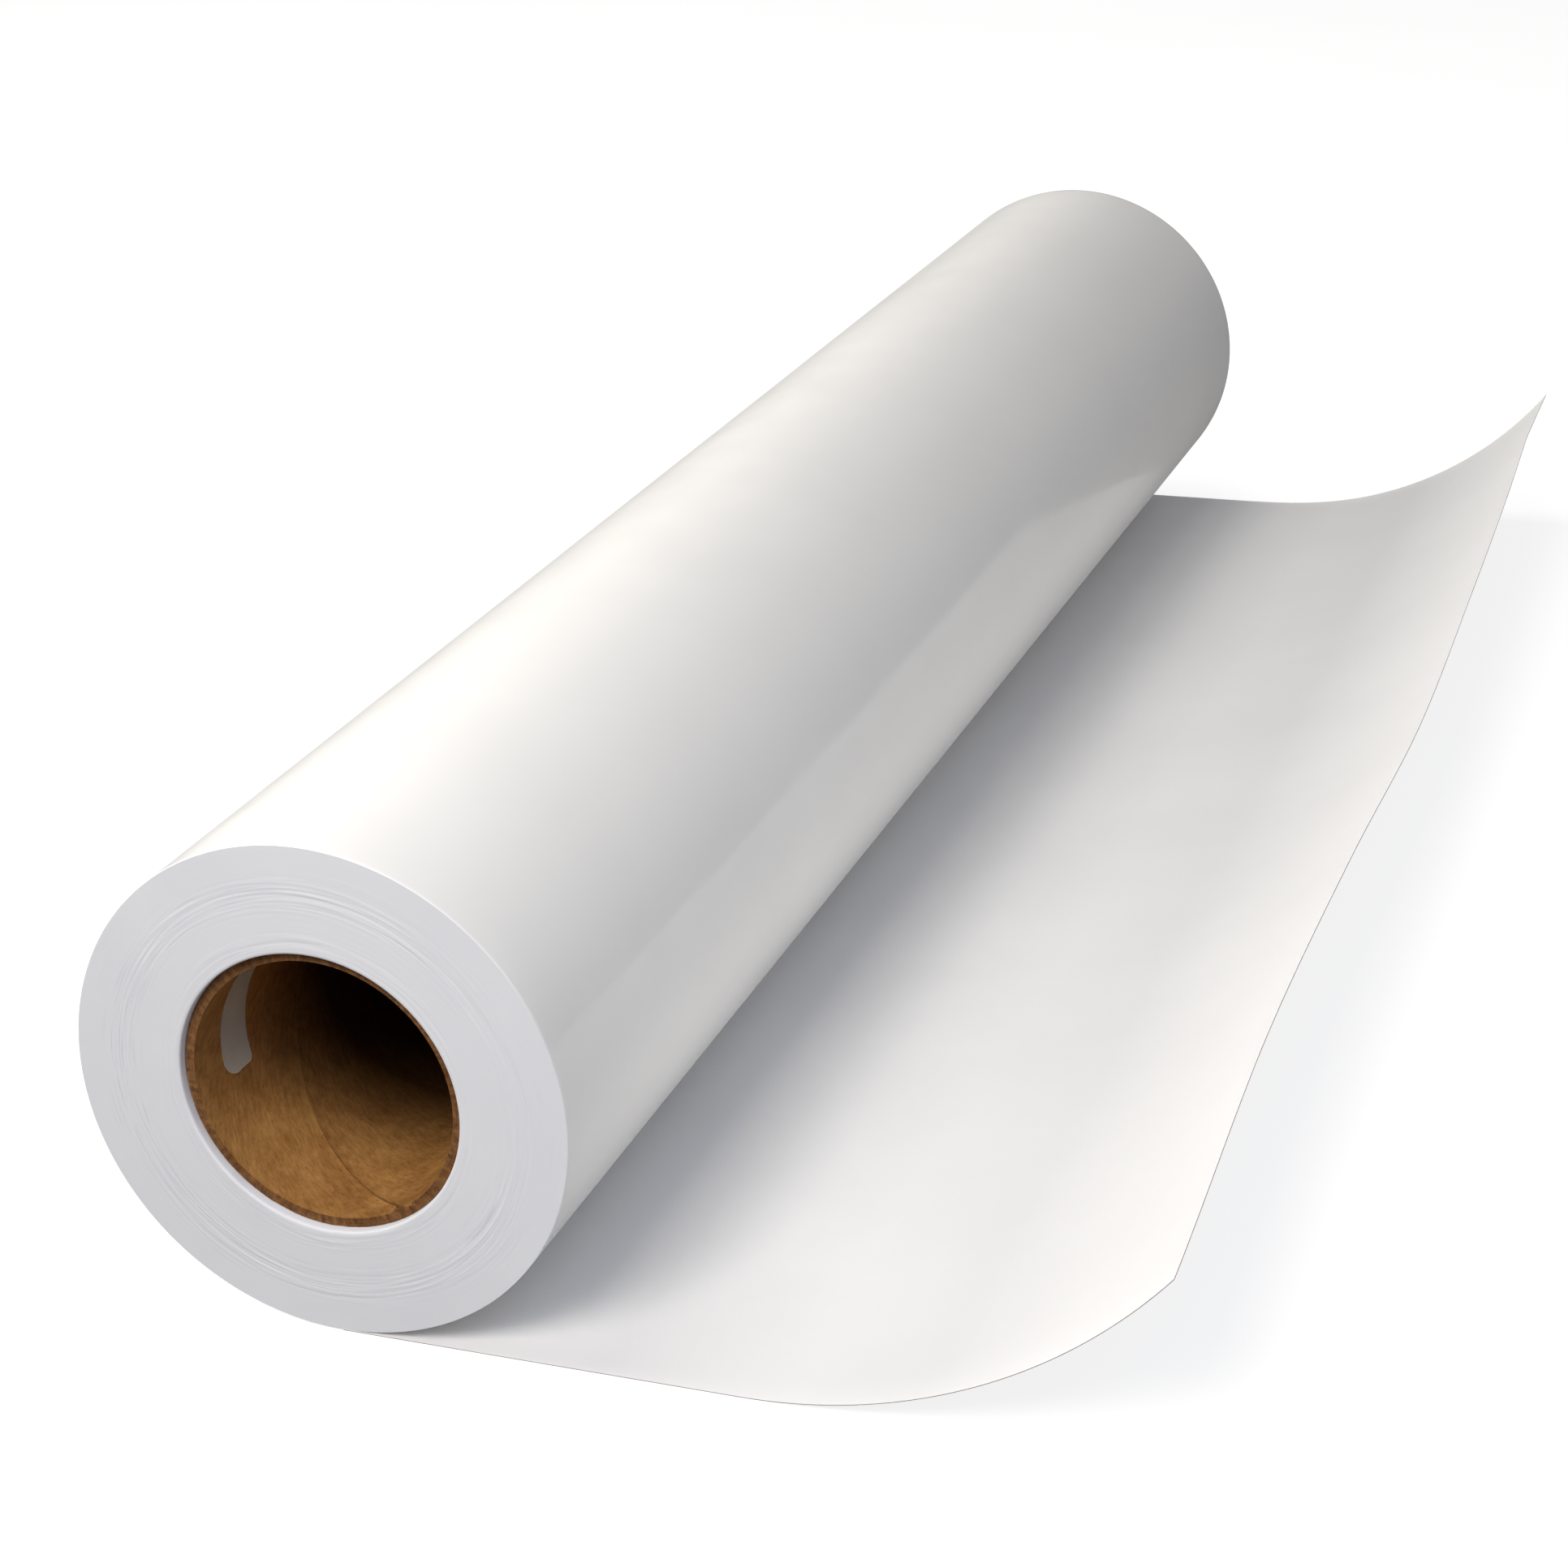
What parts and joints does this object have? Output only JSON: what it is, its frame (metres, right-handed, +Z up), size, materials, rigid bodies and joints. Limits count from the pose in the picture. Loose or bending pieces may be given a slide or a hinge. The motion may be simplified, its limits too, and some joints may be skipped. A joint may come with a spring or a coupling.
{
  "type": "backdrop paper roll",
  "caption": "Roll of white backdrop paper wound on a spiral cardboard core, lying down with its free end laid out flat and curling up at the cut edge.",
  "frame": {"origin": "centre of the core's bore, half way along the roll", "axes": "+Y along the roll's axis, +X the way the loose paper lies, +Z up"},
  "size_m": [0.2978, 0.762, 0.144],
  "materials": {
    "paper": "smooth white, satin outside",
    "core_board": "uncoated kraft",
    "label": "matte, blank",
    "tape": "translucent adhesive tape"
  },
  "bodies": {
    "laid_sheet": {"sheet_run": "paper", "sheet_foot": "paper"},
    "nip": {"sheet_nip": "paper"},
    "roll": {"wound_paper": "paper", "core_liner_ply": "core_board", "core_ply_2": "core_board", "core_ply_3": "core_board", "core_ply_4": "core_board", "core_outer_ply": "core_board", "core_label": "label", "start_tape_1": "tape", "start_tape_2": "tape", "start_tape_3": "tape"},
    "curled_end": {"sheet_curl": "paper"}
  },
  "joints": [
    {"name": "roll_travel", "type": "slide", "parent": "laid_sheet", "child": "nip", "axis": [1, 0, 0], "range_m": [-0.4524, 0.0378], "deforming": ["sheet_run"]},
    {"name": "roll_spin", "type": "hinge", "parent": "nip", "child": "roll", "pos_m": [0, 0, 0], "axis": [0, 1, 0], "range_deg": [-360, 30]},
    {"name": "curl_lift", "type": "hinge", "parent": "laid_sheet", "child": "curled_end", "pos_m": [0.1, 0, -0.0718], "axis": [0, -1, 0], "range_deg": [0, 40]}
  ],
  "couplings": [
    {"joint": "roll_travel", "follows": "roll_spin", "m_per_rad": 0.072}
  ]
}
